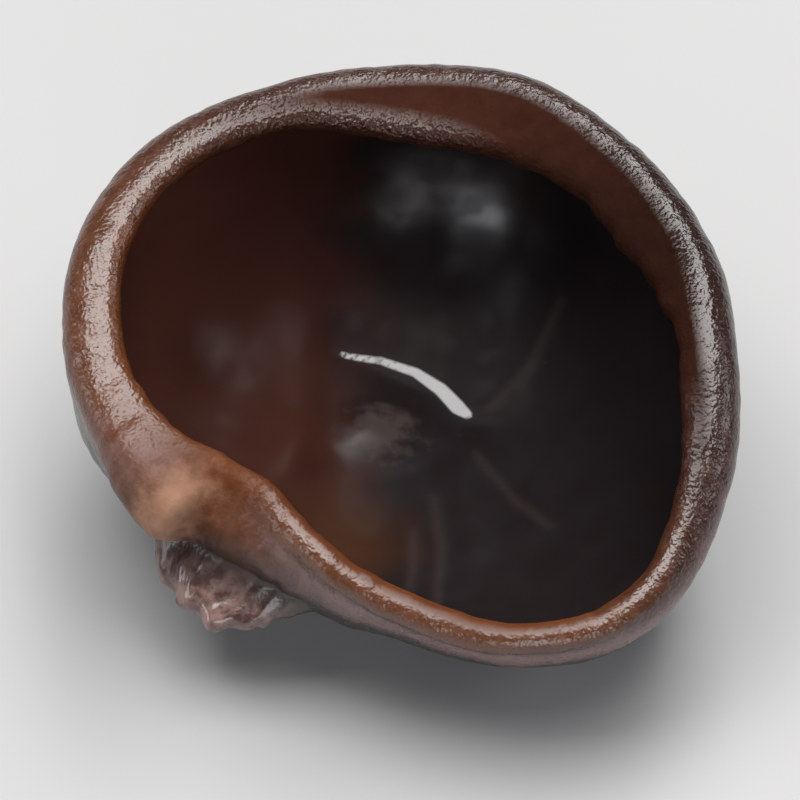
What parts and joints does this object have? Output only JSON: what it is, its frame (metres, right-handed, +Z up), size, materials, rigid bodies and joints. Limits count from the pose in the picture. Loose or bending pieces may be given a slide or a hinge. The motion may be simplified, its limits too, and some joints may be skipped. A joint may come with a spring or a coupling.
{
  "type": "wood ear mushroom",
  "caption": "Soaked wood ear mushroom: a thin dark jelly-like cup with a rolled rounded lip, a pinch and a short cut root, lying on its rounded back.",
  "frame": {"origin": "middle of the bottom of the box around the ear, on the surface that it lies on", "axes": "+Z up, out of the cup's opening; +Y towards the high side where the lip rolls in; the root is at -X -Y"},
  "size_m": [0.056, 0.055, 0.0271],
  "materials": {
    "ear_flesh": "wet, gelatinous, glossy dark brown inside, matte grey-brown back, lighter tan lip"
  },
  "bodies": {
    "root": {"ear": "ear_flesh"}
  },
  "joints": []
}
